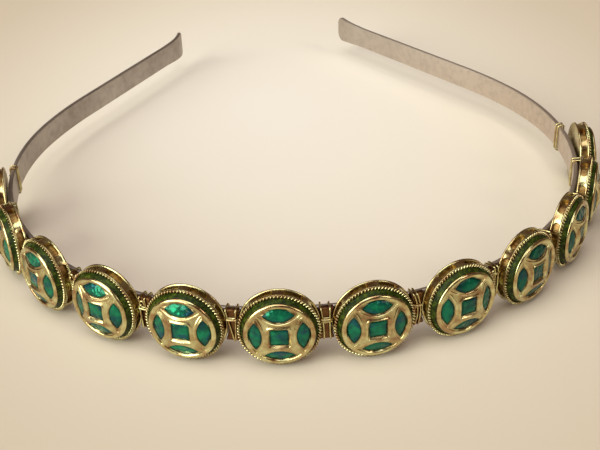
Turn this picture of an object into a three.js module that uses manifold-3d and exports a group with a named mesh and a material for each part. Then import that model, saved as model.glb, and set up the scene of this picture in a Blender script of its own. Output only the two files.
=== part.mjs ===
// A jewelled headband: a springy steel strip standing on its edge, and on its outer face
// a row of round gilt medallions, each with a ring of green enamel and five green stones
// under a domed lattice. Gilt wire is bound round the strip beside every medallion.
// Millimetres, +Z up; the open ends of the strip point towards +Y.
import * as THREE from 'three';
import { mergeVertices } from 'three/addons/utils/BufferGeometryUtils.js';
import Module from 'manifold-3d';

const wasm = await Module();
wasm.setup();

// ---- driving dimensions ----

const clearance = 0.25; // between pieces that touch or are soldered on the real object
const rounding = 1e-5; // of all coordinates

// the strip
const stripWidth = 6; // upright, along Z
const stripThickness = 1;
const crownArcs = [ // from the crown outwards, the same on both sides; straight after the last
  { length: 10, radius: 78 },
  { length: 24, radius: 61 },
  { length: 95, radius: 65.3 },
  { length: 17, radius: 104 },
];
const stripEnds = [ // the two ends were flared by hand, one more than the other
  { side: -1, reach: 197, flareAngle: 31 },
  { side: 1, reach: 201, flareAngle: 11 },
];
const flareLength = 8;
const tipWidth = 7.7;
const tipLength = 13; // over which the strip widens to its tip
const tipCorner = 2.2; // corner radius of the tip
const stripStep = 6; // longest facet of the strip
const tipStep = 3;
const tipCornerTurns = [0, 25, 45, 65, 90]; // degrees round a corner, at each facet edge

// the row of medallions
const medallionCount = 12;
const medallionPitch = 17; // along the strip
const roundSides = 16;
const toCorner = 1 / Math.cos(Math.PI / roundSides); // from a flat's radius to a corner's

// heights of a medallion above the strip's middle plane, and its radii, to the flats
const backHeight = stripThickness / 2 + clearance;
const backThickness = 0.5;
const galleryHeight = 1.3;
const trayThickness = 0.4;
const rimHeight = 3.3;
const rimRadius = 7.8;
const drumRadius = 7.45;
const channelRadius = 7.2; // outer wall of the enamel channel
const wallRadius = 6.3; // inner wall of the channel, under the dome's border
const wallHeight = 4.3;
const borderRadius = 6.85;
const borderHeight = 4.5;
const latticeRadius = 5.9;
const latticeHeight = 4.9; // of the lattice at its edge
const domeHeight = 5.9; // of the lattice at the medallion's axis
const latticeThickness = 0.4;
const borderStep = 0.1; // from the border down to the lattice

const galleryBottom = backHeight + backThickness;
const galleryTop = galleryBottom + galleryHeight;
const trayHeight = galleryTop + trayThickness;

// the posts of the gallery and the windows of the lattice
const postCount = 8;
const postOuter = 7.35; // distances from the medallion's axis
const postInner = 4.6;
const postHalfWidth = 1.2;
const lensRadius = 4.3; // from the medallion's axis to the middle of a lens window
const lensHalfLength = 3.2;
const lensHalfWidth = 1.35;
const windowSteps = 4; // straight facets on each side of a lens window
const squareHalf = 1.8;
const squareCorner = 0.35;

// the stones, a little larger than their windows
const stoneLip = 0.1;
const stoneSteps = 3; // facets on each side of a lens stone
const backingThickness = 0.5;
const backingSides = 12;
const backingRadius = 5.55; // to the flats, so that its corners clear the wall round it
const lensGirdle = 4.12;
const lensTable = 4.46;
const squareGirdle = 4.7;
const squareTable = 5.1;
const tableShare = 0.58;

// the enamel ring's section
const enamelTop = 4.1;
const enamelLip = 0.15;

// the wire wraps
const wireThickness = 0.5;
const wrapSpacing = 1.3; // between the two turns of a wrap
const wrapCorner = 0.4; // on the outer side
const tieHeight = 1.5; // of the short wire that joins the two turns
const endWrapDistance = 10; // from the last medallion's middle
const wrapLeans = [3, 0, -4, 5, -3, 6, 0, -5, 2, -4, 4, 0, -3]; // degrees, one for each wrap

// the link plate between two medallions, on the strip's outer face and bound in by the wire
const linkThickness = 1;
const linkHalfHeight = 3.4;
const linkBite = 0.05; // the wire sinks into its edges
const linkEdge = [[0.68, 0.9], [1.4, linkHalfHeight]]; // half width, height

// ---- materials ----

const surface = (color, roughness, metalness) => (
  new THREE.MeshStandardMaterial({ color, roughness, metalness, flatShading: true }));
const steel = surface(0xb4aba2, 0.3, 1);
const gilt = surface(0xd8b465, 0.25, 1);
const enamel = surface(0x24451c, 0.2, 0);
const stone = surface(0x0c7a4a, 0.08, 0);

// ---- solids ----

// Leaves only positions, rounded so that faces which touch share their corners exactly, with
// shared vertices and no collapsed triangles.
function closedGeometry(geometry) {
  const bare = geometry.clone();
  bare.deleteAttribute('normal');
  bare.deleteAttribute('uv');
  const rounded = bare.attributes.position.array.map((v) => Math.round(v / rounding) * rounding);
  bare.setAttribute('position', new THREE.BufferAttribute(rounded, 3));
  const merged = mergeVertices(bare, rounding / 2);
  const corners = merged.index.array;
  const kept = [];
  for (let i = 0; i < corners.length; i += 3) {
    const [a, b, c] = [corners[i], corners[i + 1], corners[i + 2]];
    if (a !== b && b !== c && c !== a) kept.push(a, b, c);
  }
  merged.setIndex(kept);
  return merged;
}

function solidOf(geometry) {
  const closed = closedGeometry(geometry);
  const vertProperties = new Float32Array(closed.attributes.position.array);
  const triVerts = new Uint32Array(closed.index.array);
  return new wasm.Manifold(new wasm.Mesh({ numProp: 3, vertProperties, triVerts }));
}

function geometryOf(solid) {
  const mesh = solid.getMesh();
  const geometry = new THREE.BufferGeometry();
  const positions = new THREE.BufferAttribute(new Float32Array(mesh.vertProperties), 3);
  geometry.setAttribute('position', positions);
  geometry.setIndex(new THREE.BufferAttribute(new Uint32Array(mesh.triVerts), 1));
  return geometry;
}

// A turned piece: [radius, height] corners round the medallion's axis, which is +Z here.
// A flat facet faces each way along X and Y, and the radii are measured to the flats.
function turned(corners) {
  const profile = corners.map(([radius, height]) => new THREE.Vector2(radius * toCorner, height));
  const geometry = new THREE.LatheGeometry(profile, roundSides);
  geometry.rotateX(Math.PI / 2);
  geometry.rotateZ(Math.PI / roundSides);
  return geometry;
}

// An upright prism of a closed outline, between two heights.
function prism(outline, bottom, top) {
  const shape = new THREE.Shape(outline);
  const geometry = new THREE.ExtrudeGeometry(shape, { depth: top - bottom, bevelEnabled: false });
  geometry.translate(0, 0, bottom);
  return geometry;
}

// ---- outlines ----

const origin = new THREE.Vector2();

// A polygon with a flat facing each way along X and Y.
function roundOutline(radius, sides) {
  return Array.from({ length: sides }, (_, i) => {
    const angle = (i + 0.5) * 2 * Math.PI / sides;
    const corner = radius / Math.cos(Math.PI / sides);
    return new THREE.Vector2(corner * Math.cos(angle), corner * Math.sin(angle));
  });
}

// One side of a lens: an arc along the X axis that bulges by halfWidth towards +Y or, for a
// negative halfWidth, towards -Y.
function lensSide(halfLength, halfWidth, steps) {
  const radius = (halfLength ** 2 + halfWidth ** 2) / (2 * halfWidth);
  const halfAngle = Math.asin(halfLength / radius);
  return Array.from({ length: steps + 1 }, (_, i) => {
    const angle = halfAngle * (2 * i / steps - 1);
    const rise = radius * Math.cos(angle) - radius + halfWidth;
    return new THREE.Vector2(radius * Math.sin(angle), rise);
  });
}

function cutSquareOutline(half, corner) {
  const near = half - corner;
  const points = [[half, -near], [half, near], [near, half], [-near, half],
    [-half, near], [-half, -near], [-near, -half], [near, -half]];
  return points.map(([x, y]) => new THREE.Vector2(x, y));
}

// The outline of each lens stone, lying across the radius at the four quarters.
function lensOutlines(halfLength, halfWidth, steps) {
  const near = lensSide(halfLength, -halfWidth, steps).slice(0, -1);
  const far = lensSide(halfLength, halfWidth, steps).reverse().slice(0, -1);
  return [0, 1, 2, 3].map((quarter) => [...near, ...far].map((p) => (
    new THREE.Vector2(p.x, p.y + lensRadius).rotateAround(origin, quarter * Math.PI / 2))));
}

// ---- one medallion, its axis along +Z and its foot on the strip ----

function galleryPosts() {
  const wedge = [[postInner, 0], [postOuter, -postHalfWidth], [postOuter, postHalfWidth]];
  const outline = wedge.map(([x, y]) => new THREE.Vector2(x, y));
  return Array.from({ length: postCount }, (_, i) => (
    prism(outline, galleryBottom, galleryTop).rotateZ(i * 2 * Math.PI / postCount)));
}

// A quarter of the pierced plate, between the +X and +Y axes: along +X round half a lens
// window, round the plate's edge, back along +Y and round a quarter of the square window.
function latticeQuarterOutline() {
  const near = lensSide(lensHalfLength, -lensHalfWidth, windowSteps).slice(windowSteps / 2);
  const far = lensSide(lensHalfLength, lensHalfWidth, windowSteps).slice(windowSteps / 2, -1);
  const halfLens = [...near, ...far.reverse()];
  const edge = roundOutline(latticeRadius, roundSides).slice(0, roundSides / 4);
  const cut = squareHalf - squareCorner;
  return [
    new THREE.Vector2(squareHalf, 0),
    ...halfLens.map((p) => new THREE.Vector2(p.y + lensRadius, p.x)),
    new THREE.Vector2(latticeRadius, 0),
    ...edge,
    new THREE.Vector2(0, latticeRadius),
    ...halfLens.map((p) => new THREE.Vector2(p.x, p.y + lensRadius)).reverse(),
    new THREE.Vector2(0, squareHalf),
    new THREE.Vector2(cut, squareHalf),
    new THREE.Vector2(squareHalf, cut),
  ];
}

// A quarter of the lattice, raised to a shallow dome.
function latticeQuarter() {
  const quarter = prism(latticeQuarterOutline(), -latticeThickness, 0);
  const position = quarter.attributes.position;
  for (let i = 0; i < position.count; i++) {
    const share = Math.hypot(position.getX(i), position.getY(i)) / (latticeRadius * toCorner);
    const rise = (domeHeight - latticeHeight) * (1 - share ** 2);
    position.setZ(i, position.getZ(i) + latticeHeight + rise);
  }
  return quarter;
}

function settingGeometry() {
  let setting = solidOf(turned([
    [0, backHeight], [drumRadius, backHeight], [drumRadius, galleryBottom], [0, galleryBottom],
  ]));
  for (const post of galleryPosts()) setting = setting.add(solidOf(post));
  setting = setting.add(solidOf(turned([
    [0, galleryTop], [rimRadius, galleryTop], [rimRadius, rimHeight],
    [channelRadius, trayHeight], [wallRadius, trayHeight], [wallRadius, wallHeight],
    [borderRadius, borderHeight], [latticeRadius, latticeHeight + borderStep],
    [latticeRadius, trayHeight], [0, trayHeight],
  ])));
  for (const turn of [0, 1, 2, 3]) {
    setting = setting.add(solidOf(latticeQuarter().rotateZ(turn * Math.PI / 2)));
  }
  return geometryOf(setting);
}

function enamelGeometry() {
  const inner = wallRadius + clearance;
  const outer = channelRadius - clearance;
  const floor = trayHeight + clearance;
  return closedGeometry(turned([
    [inner, floor], [outer, floor], [inner + enamelLip, enamelTop], [inner, floor],
  ]));
}

// A cut stone: an upright girdle, a ring of crown facets and a flat table.
function cutStone(outline, bottom, girdle, table) {
  const middle = outline.reduce((sum, p) => sum.add(p), new THREE.Vector2());
  middle.divideScalar(outline.length);
  const rings = [[1, bottom], [1, girdle], [tableShare, table]];
  const positions = rings.flatMap(([share, height]) => outline.flatMap((p) => {
    const { x, y } = p.clone().sub(middle).multiplyScalar(share).add(middle);
    return [x, y, height];
  }));
  const corners = outline.length;
  const faces = [];
  for (let i = 0; i < corners; i++) {
    const next = (i + 1) % corners;
    for (const ring of [0, corners]) {
      faces.push(ring + i, ring + next, ring + corners + next);
      faces.push(ring + i, ring + corners + next, ring + corners + i);
    }
    if (i > 0 && i < corners - 1) {
      faces.push(0, i + 1, i, 2 * corners, 2 * corners + i, 2 * corners + i + 1);
    }
  }
  const geometry = new THREE.BufferGeometry();
  geometry.setAttribute('position', new THREE.Float32BufferAttribute(positions, 3));
  geometry.setIndex(faces);
  return geometry;
}

function stonesGeometry() {
  const bottom = trayHeight + clearance;
  const backing = bottom + backingThickness;
  const disc = prism(roundOutline(backingRadius, backingSides), bottom, backing);
  const square = cutSquareOutline(squareHalf + stoneLip, squareCorner);
  let stones = solidOf(disc).add(solidOf(cutStone(square, backing, squareGirdle, squareTable)));
  const [length, width] = [lensHalfLength + stoneLip, lensHalfWidth + stoneLip / 2];
  for (const lens of lensOutlines(length, width, stoneSteps)) {
    stones = stones.add(solidOf(cutStone(lens, backing, lensGirdle, lensTable)));
  }
  return geometryOf(stones);
}

// ---- the strip ----

// The point of the strip's middle line at a signed distance from the crown, with the
// direction of travel towards the end on that side.
function bandPoint(distance) {
  const side = Math.sign(distance) || 1;
  const end = stripEnds.find((e) => e.side === side);
  const flareStart = end.reach - flareLength;
  const bentLength = crownArcs.reduce((sum, arc) => sum + arc.length, 0);
  const stretches = [
    ...crownArcs.map(({ length, radius }) => ({ length, turn: length / radius })),
    { length: flareStart - bentLength, turn: 0 },
    { length: flareLength, turn: -THREE.MathUtils.degToRad(end.flareAngle) },
  ];
  let [x, y, heading, left] = [0, 0, 0, Math.abs(distance)];
  for (const { length, turn } of stretches) {
    const travelled = Math.min(left, length);
    const halfBend = turn * travelled / length / 2;
    const chord = halfBend === 0 ? travelled : travelled * Math.sin(halfBend) / halfBend;
    x += chord * Math.cos(heading + halfBend);
    y += chord * Math.sin(heading + halfBend);
    heading += 2 * halfBend;
    left -= travelled;
  }
  return { x: side * x, y, heading: side * heading };
}

// Half the strip's width at a distance, wider towards the tip and round at its corners.
function stripHalfWidth(distance) {
  const { reach } = stripEnds.find((e) => e.side === (Math.sign(distance) || 1));
  const toEnd = reach - Math.abs(distance);
  const widening = THREE.MathUtils.clamp(1 - toEnd / tipLength, 0, 1) ** 1.5;
  const intoCorner = Math.max(tipCorner - toEnd, 0);
  const cut = tipCorner - Math.sqrt(tipCorner ** 2 - intoCorner ** 2);
  return stripWidth / 2 + (tipWidth - stripWidth) / 2 * widening - cut;
}

// Distances of the strip's facet edges, with a facet centred on the crown.
function stripStations() {
  const evenly = (from, to, step) => {
    const count = Math.round((to - from) / step);
    return Array.from({ length: count }, (_, i) => from + i * (to - from) / count);
  };
  const oneSide = ({ side, reach }) => {
    const tipStart = reach - tipLength;
    const cornerStart = reach - tipCorner;
    const corner = tipCornerTurns.map((turn) => (
      cornerStart + tipCorner * Math.sin(THREE.MathUtils.degToRad(turn))));
    const stations = [...evenly(stripStep / 2, tipStart, stripStep),
      ...evenly(tipStart, cornerStart, tipStep), ...corner];
    return stations.map((distance) => side * distance);
  };
  const [left, right] = stripEnds.map(oneSide);
  return [...left.reverse(), ...right];
}

// A box cut into steps along its length and bent to the plan of the strip.
function bandGeometry() {
  const stations = stripStations();
  const steps = stations.length - 1;
  const geometry = closedGeometry(new THREE.BoxGeometry(steps, 1, 1, steps, 1, 1));
  const position = geometry.attributes.position;
  for (let i = 0; i < position.count; i++) {
    const distance = stations[Math.round(position.getX(i) + steps / 2)];
    const { x, y, heading } = bandPoint(distance);
    const inward = position.getY(i) * stripThickness;
    const z = 2 * position.getZ(i) * stripHalfWidth(distance);
    position.setXYZ(i, x - inward * Math.sin(heading), y + inward * Math.cos(heading), z);
  }
  return geometry;
}

// ---- the wire wraps, their axes along +X ----

// A frame's outline, its corners cut by some amount on the outer side.
function frameOutline(halfDepth, halfHeight, cut) {
  const [x, y] = [halfDepth - cut, halfHeight - cut];
  const outer = cut > 0 ? [[-x, halfHeight], [-halfDepth, y], [-halfDepth, -y], [-x, -halfHeight]]
    : [[-halfDepth, halfHeight], [-halfDepth, -halfHeight]];
  return [[halfDepth, -halfHeight], [halfDepth, halfHeight], ...outer].map(([u, v]) => (
    new THREE.Vector2(u, v)));
}

// One turn of wire, a flat frame round the strip in the YZ plane, and round the link if any.
function wireTurn(lean, linkDepth) {
  const innerDepth = stripThickness / 2 + clearance + linkDepth / 2;
  const innerHeight = (stripWidth / 2 + clearance) / Math.cos(lean);
  const shape = new THREE.Shape(frameOutline(innerDepth + wireThickness,
    innerHeight + wireThickness, wrapCorner));
  shape.holes.push(new THREE.Path(frameOutline(innerDepth, innerHeight, 0)));
  const turn = new THREE.ExtrudeGeometry(shape, { depth: wireThickness, bevelEnabled: false });
  turn.translate(0, 0, -wireThickness / 2);
  turn.rotateY(Math.PI / 2).rotateX(Math.PI / 2);
  turn.translate(0, -linkDepth / 2, 0);
  turn.rotateY(lean);
  return turn;
}

// A flat plate with a waist, so that it clears the round medallions on its two sides.
function linkPlate() {
  const upper = linkEdge.map(([x, y]) => new THREE.Vector2(x, y));
  const lower = upper.map((p) => new THREE.Vector2(p.x, -p.y));
  const rightSide = [...lower.reverse(), ...upper];
  const leftSide = rightSide.map((p) => new THREE.Vector2(-p.x, p.y)).reverse();
  const plate = prism([...rightSide, ...leftSide], 0, linkThickness + linkBite);
  return plate.rotateX(Math.PI / 2).translate(0, -backHeight, 0);
}

// Two turns that lean towards each other or apart, joined by a short tie on the outer face.
function wireWrapGeometry(leanDegrees, hasLink) {
  const lean = THREE.MathUtils.degToRad(leanDegrees);
  const linkDepth = hasLink ? linkThickness : 0;
  const left = wireTurn(lean, linkDepth).translate(-wrapSpacing / 2, 0, 0);
  const right = wireTurn(-lean, linkDepth).translate(wrapSpacing / 2, 0, 0);
  const tie = new THREE.BoxGeometry(wrapSpacing, wireThickness * 0.9, wireThickness);
  tie.translate(0, -stripThickness / 2 - clearance - linkDepth - wireThickness / 2, tieHeight);
  const wrap = solidOf(left).add(solidOf(right)).add(solidOf(tie));
  return geometryOf(hasLink ? wrap.add(solidOf(linkPlate())) : wrap);
}

// ---- the assembly ----

const group = new THREE.Group();

function addMesh(name, geometry, material, holder) {
  const mesh = new THREE.Mesh(geometry, material);
  mesh.name = name;
  holder.add(mesh);
}

// A holder at a distance along the strip, its +X along the strip and its +Y inwards.
function holderAt(distance) {
  const { x, y, heading } = bandPoint(distance);
  const holder = new THREE.Group();
  holder.position.set(x, y, 0);
  holder.rotation.z = heading;
  group.add(holder);
  return holder;
}

function addMedallions() {
  const shapes = [
    ['setting', settingGeometry(), gilt],
    ['enamel', enamelGeometry(), enamel],
    ['stones', stonesGeometry(), stone],
  ];
  for (let i = 0; i < medallionCount; i++) {
    const distance = (i - (medallionCount - 1) / 2) * medallionPitch;
    const facingOut = new THREE.Group();
    facingOut.rotation.x = Math.PI / 2; // the medallion's axis points away from the wearer
    holderAt(distance).add(facingOut);
    const number = String(i + 1).padStart(2, '0');
    for (const [name, geometry, material] of shapes) {
      addMesh(`${name}_${number}`, geometry, material, facingOut);
    }
  }
}

function addWireWraps() {
  const lastMedallion = (medallionCount - 1) / 2 * medallionPitch;
  const endWrap = lastMedallion + endWrapDistance;
  for (let i = 0; i <= medallionCount; i++) {
    const between = (i - medallionCount / 2) * medallionPitch;
    const distance = THREE.MathUtils.clamp(between, -lastMedallion, lastMedallion);
    const place = distance === between ? between : Math.sign(between) * endWrap;
    const number = String(i + 1).padStart(2, '0');
    const wrap = wireWrapGeometry(wrapLeans[i], distance === between);
    addMesh(`wire_wrap_${number}`, wrap, gilt, holderAt(place));
  }
}

addMesh('band', bandGeometry(), steel, group);
addMedallions();
addWireWraps();

// The origin is under the middle of the whole headband, at the level it rests on.
const extent = new THREE.Box3().setFromObject(group);
const middle = extent.getCenter(new THREE.Vector3());
group.position.set(-middle.x, -middle.y, -extent.min.z);
group.updateMatrixWorld(true);

export default group;
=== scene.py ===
import math
import random

import bmesh
import bpy
from mathutils import Matrix, Vector
from mathutils.geometry import delaunay_2d_cdt


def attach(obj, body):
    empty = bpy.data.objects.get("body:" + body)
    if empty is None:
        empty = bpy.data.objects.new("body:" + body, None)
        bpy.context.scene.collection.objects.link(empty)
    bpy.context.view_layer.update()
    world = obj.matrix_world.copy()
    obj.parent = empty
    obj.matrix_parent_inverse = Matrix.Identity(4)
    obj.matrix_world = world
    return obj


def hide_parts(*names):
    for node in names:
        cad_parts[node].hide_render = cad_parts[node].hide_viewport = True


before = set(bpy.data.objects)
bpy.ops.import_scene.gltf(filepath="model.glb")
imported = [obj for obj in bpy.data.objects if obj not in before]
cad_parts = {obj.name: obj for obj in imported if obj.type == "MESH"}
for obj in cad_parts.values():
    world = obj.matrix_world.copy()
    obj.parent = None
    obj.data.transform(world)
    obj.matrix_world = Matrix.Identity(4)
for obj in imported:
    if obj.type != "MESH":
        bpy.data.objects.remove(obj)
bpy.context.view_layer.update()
scene = bpy.context.scene
mm = 0.001  # sizes are in millimetres and angles in degrees, unless a note says otherwise
print("frame loaded:", len(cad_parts), "nodes")


def addObject(name, data):
    result = bpy.data.objects.new(name, data)
    scene.collection.objects.link(result)
    return result


# Short ways to make nodes, for shaders and for Geometry Nodes.

def feed(tree, node, inputs):  # gives each input a link or a value
    for label, value in inputs.items():
        if isinstance(value, bpy.types.NodeSocket):
            tree.links.new(value, node.inputs[label])
        else:
            node.inputs[label].default_value = value


def addNode(tree, kind, inputs=None, **settings):  # gives the new node's outputs
    node = tree.nodes.new(kind)
    for key, value in settings.items():
        setattr(node, key, value)
    feed(tree, node, inputs or {})
    return node.outputs


def calculate(tree, operation, first, second, clamp=False):
    inputs = {0: first, 1: second}
    return addNode(tree, "ShaderNodeMath", inputs, operation=operation, use_clamp=clamp)["Value"]


def partsOf(tree, vector):
    return addNode(tree, "ShaderNodeSeparateXYZ", {"Vector": vector})


def vectorFrom(tree, **parts):
    return addNode(tree, "ShaderNodeCombineXYZ", parts)["Vector"]


def newTree(name, inputs):
    tree = bpy.data.node_groups.new(name, "GeometryNodeTree")
    tree.interface.new_socket(name="Geometry", in_out="OUTPUT", socket_type="NodeSocketGeometry")
    for label, kind in inputs.items():
        tree.interface.new_socket(name=label, in_out="INPUT", socket_type="NodeSocket" + kind)
    return tree, addNode(tree, "NodeGroupInput")


def endTree(tree, geometry, material):
    real = addNode(tree, "GeometryNodeRealizeInstances", {"Geometry": geometry})["Geometry"]
    inputs = {"Geometry": real, "Material": material}
    finished = addNode(tree, "GeometryNodeSetMaterial", inputs)["Geometry"]
    addNode(tree, "NodeGroupOutput", {"Geometry": finished})


def grow(name, mesh, tree, settings):  # runs a Geometry Nodes tree on a mesh, gives a plain mesh
    holder = addObject(name, mesh)
    modifier = holder.modifiers.new(name, "NODES")
    modifier.node_group = tree
    for item in tree.interface.items_tree:
        if item.in_out == "INPUT" and item.name in settings:
            modifier[item.identifier] = settings[item.name]
    shaped = holder.evaluated_get(bpy.context.evaluated_depsgraph_get())
    result = bpy.data.meshes.new_from_object(shaped)
    holder.modifiers.remove(modifier)
    bpy.data.objects.remove(holder)
    return result


# Materials. In the finishes below a noise is its scale, detail and roughness, its scale for
# each millimetre, and a bump is its depth in millimetres and its strength. Where a noise has
# a stretch, its pattern is finer along an axis whose number is higher.

noiseLow, noiseHigh = 0.3, 0.7  # most of a noise lies between these


def makeMaterial(name, finish, shade, *part):  # shade gives the shader's inputs
    material = bpy.data.materials.new(name)
    material.use_nodes = True
    tree = material.node_tree
    feed(tree, tree.nodes["Principled BSDF"], shade(tree, finish, *part))
    return material


def place(tree, scale=(1, 1, 1)):  # object coordinates in millimetres, times scale
    inputs = {"Vector": addNode(tree, "ShaderNodeTexCoord")["Object"], "Scale": [s / mm for s in scale]}
    return addNode(tree, "ShaderNodeMapping", inputs)["Vector"]


def noiseOf(tree, finish, name, vector=None):  # the noise of that name in a finish
    scale, detail, roughness = finish[name + "Noise"]
    if vector is None:
        vector = place(tree, finish.get(name + "Stretch", (1, 1, 1)))
    inputs = {"Vector": vector, "Scale": scale, "Detail": detail, "Roughness": roughness}
    return addNode(tree, "ShaderNodeTexNoise", inputs)["Fac"]


def ramp(tree, value, stops, colors):
    result = addNode(tree, "ShaderNodeValToRGB", {"Fac": value})["Color"]
    elements = result.node.color_ramp.elements
    while len(elements) < len(stops):
        elements.new(0.5)
    for element, position, color in zip(elements, stops, colors):
        element.position = position
        element.color = (*color, 1.0)
    return result


def clouded(tree, finish):  # a finish's colours in soft clouds
    return ramp(tree, noiseOf(tree, finish, "cloud"), finish["stops"], finish["colors"])


def spread(tree, value, low, high, toLow, toHigh):
    inputs = {"Value": value, "From Min": low, "From Max": high, "To Min": toLow, "To Max": toHigh}
    return addNode(tree, "ShaderNodeMapRange", inputs)["Result"]


def spreadNoise(tree, noise, toLow, toHigh):
    return spread(tree, noise, noiseLow, noiseHigh, toLow, toHigh)


def blendColors(tree, share, first, second):
    inputs = {"Factor": share, "A": first, "B": (*second, 1.0)}
    return addNode(tree, "ShaderNodeMix", inputs, data_type="RGBA")["Result"]


def bumpOf(tree, finish, name, height, **normal):
    depth, strength = finish[name + "Bump"]
    inputs = {"Height": height, "Distance": depth * mm, "Strength": strength, **normal}
    return addNode(tree, "ShaderNodeBump", inputs)["Normal"]


def attributeOf(tree, name):
    return addNode(tree, "ShaderNodeAttribute", attribute_name=name)["Fac"]


giltFinish = {
    "colors": ((0.40, 0.25, 0.12), (0.56, 0.46, 0.22), (0.70, 0.67, 0.35)),  # red to pale gold
    "stops": (0.34, 0.48, 0.62),
    "cloudNoise": (0.5, 4, 0.5),
    "tarnishAndShade": (0.10, 0.05, 0.018),  # painted shade and tarnish in the recesses
    "tarnishAndShadeShare": (0.55, 1.0),
    "patchinessNoise": (1.3, 5, 0.6),
    "roughness": (0.13, 0.27),
    "recessRoughness": 0.18,  # added in the recesses
    "fineNoise": (3.2, 4, 0.65),
    "dentNoise": (1.3, 3, 0.5),
    "dentBump": (0.05, 0.7),
    "scratchNoise": (3.0, 2, 0.5),
    "scratchStretch": (1.0, 0.2, 2.4),
    "scratchBump": (0.008, 0.5),
}


def shadeGilt(tree, finish):
    recess = attributeOf(tree, "recess")
    patchiness = spreadNoise(tree, noiseOf(tree, finish, "patchiness"), *finish["tarnishAndShadeShare"])
    # painted shade and tarnish: darker where the recess attribute is high, in patches
    dark = calculate(tree, "MULTIPLY", recess, patchiness, clamp=True)
    shine = spreadNoise(tree, noiseOf(tree, finish, "fine"), *finish["roughness"])
    dull = calculate(tree, "MULTIPLY", recess, finish["recessRoughness"])
    dents = bumpOf(tree, finish, "dent", noiseOf(tree, finish, "dent"))
    return {
        "Base Color": blendColors(tree, dark, clouded(tree, finish), finish["tarnishAndShade"]),
        "Metallic": 1.0,
        "Roughness": calculate(tree, "ADD", shine, dull),
        "Normal": bumpOf(tree, finish, "scratch", noiseOf(tree, finish, "scratch"), Normal=dents),
    }


steelFinish = {
    "colors": ((0.40, 0.35, 0.31), (0.52, 0.47, 0.42)),
    "stops": (0.3, 0.7),
    "cloudNoise": (0.09, 4, 0.5),
    "paintedFarColor": (0.62, 0.53, 0.45),  # painted light: the right arm is lighter
    "paintedFarRange": (0.0, 60.0),
    "smudge": (0.26, 0.20, 0.17),
    "smudgeStops": (0.45, 0.75),
    "smudgeShare": 0.35,
    "smudgeNoise": (0.5, 5, 0.6),
    "roughness": (0.44, 0.56),
    "lineNoise": (3.0, 4, 0.7),
    "alongStretch": 0.05,  # of the lines, along the strip
    "lineBump": (0.012, 0.6),
}


def shadeSteel(tree, finish):
    spot = partsOf(tree, place(tree))
    station = calculate(tree, "MULTIPLY", attributeOf(tree, "station"), finish["alongStretch"])
    lines = noiseOf(tree, finish, "line", vectorFrom(tree, X=station, Y=spot["Z"]))
    smudge = noiseOf(tree, finish, "smudge")
    # painted light: lighter colour towards the right arm
    far = spread(tree, spot["X"], *finish["paintedFarRange"], 0.0, 1.0)
    color = blendColors(tree, far, clouded(tree, finish), finish["paintedFarColor"])
    smudged = spread(tree, smudge, *finish["smudgeStops"], 0.0, finish["smudgeShare"])
    return {
        "Base Color": blendColors(tree, smudged, color, finish["smudge"]),
        "Metallic": 1.0,
        "Roughness": spreadNoise(tree, smudge, *finish["roughness"]),
        "Normal": bumpOf(tree, finish, "line", lines),
    }


brownGiltFinish = {  # drawn metal under dull gilding: of the link plates, and of the gallery's wall
    "plateColors": ((0.07, 0.025, 0.010), (0.19, 0.09, 0.038)),
    "plateWorn": (0.25, 0.14, 0.05),
    # painted light: the wall's colours are lighter, to lift the shade between the posts
    "wallColors": ((0.13, 0.06, 0.02), (0.34, 0.21, 0.075)),
    "wallWorn": (0.48, 0.34, 0.13),
    "stops": (0.35, 0.65),
    "wornStops": (0.45, 0.7),
    "wornShare": 0.6,
    "wornNoise": (0.7, 4, 0.5),
    "roughness": (0.3, 0.5),
    "lineNoise": (0.6, 4, 0.6),
    "lineStretch": (1.0, 1.0, 9.0),
    "lineBump": (0.05, 0.7),
}


def shadeBrownGilt(tree, finish, part):
    lines = noiseOf(tree, finish, "line")
    worn = spread(tree, noiseOf(tree, finish, "worn"), *finish["wornStops"], 0.0, finish["wornShare"])
    brown = ramp(tree, lines, finish["stops"], finish[part + "Colors"])
    return {
        "Base Color": blendColors(tree, worn, brown, finish[part + "Worn"]),
        "Metallic": 1.0,
        "Roughness": spreadNoise(tree, lines, *finish["roughness"]),
        "Normal": bumpOf(tree, finish, "line", lines),
    }


enamelFinish = {
    "colors": ((0.009, 0.014, 0.002), (0.022, 0.036, 0.003), (0.075, 0.105, 0.008)),
    "stops": (0.36, 0.52, 0.68),
    "cloudNoise": (1.1, 5, 0.62),
    "fleckNoise": (4.5, 2, 0.5),
    "fleckBump": (0.12, 0.9),
    "roughness": (0.2, 0.38),
    "specular": 0.13,
}


def shadeEnamel(tree, finish):
    fleck = noiseOf(tree, finish, "fleck")
    return {
        "Base Color": clouded(tree, finish),
        "Roughness": spreadNoise(tree, fleck, *finish["roughness"]),
        "Specular IOR Level": finish["specular"],
        "Normal": bumpOf(tree, finish, "fleck", fleck),
    }


stoneFinish = {
    "colors": ((0.006, 0.065, 0.058), (0.007, 0.12, 0.07), (0.009, 0.21, 0.10)),
    "stops": (0.34, 0.46, 0.62),
    "cloudNoise": (0.42, 3, 0.5),
    # painted reflection: bluish patches in the stones
    "paintedBlueReflection": (0.010, 0.055, 0.105),
    "paintedBlueReflectionStops": (0.52, 0.64),
    "paintedBlueReflectionShare": 0.75,
    "paintedBlueReflectionNoise": (0.3, 2, 0.5),
    "paintedBlueReflectionStretch": (1.0, 1.0, 1.7),
    "paintedFarColor": (0.003, 0.045, 0.04),  # painted shade: darker towards the right end of the row
    "paintedFarRange": (-3.0, 40.0),
    "paintedFarShare": 0.6,
    # painted shade at the stone's rim
    "rimShadeColor": (0.001, 0.016, 0.012),
    "rimShadeShare": 0.85,
    "shader": {  # half metal, for the foil behind the stone
        "Metallic": 0.45,
        "Roughness": 0.16,
        "Specular IOR Level": 0.1,
        "Coat Weight": 0.17,
        "Coat Roughness": 0.03,
    },
    "facetScale": 0.9,  # the cut underside shows through
    "facetBump": (0.35, 0.6),
}


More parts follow.
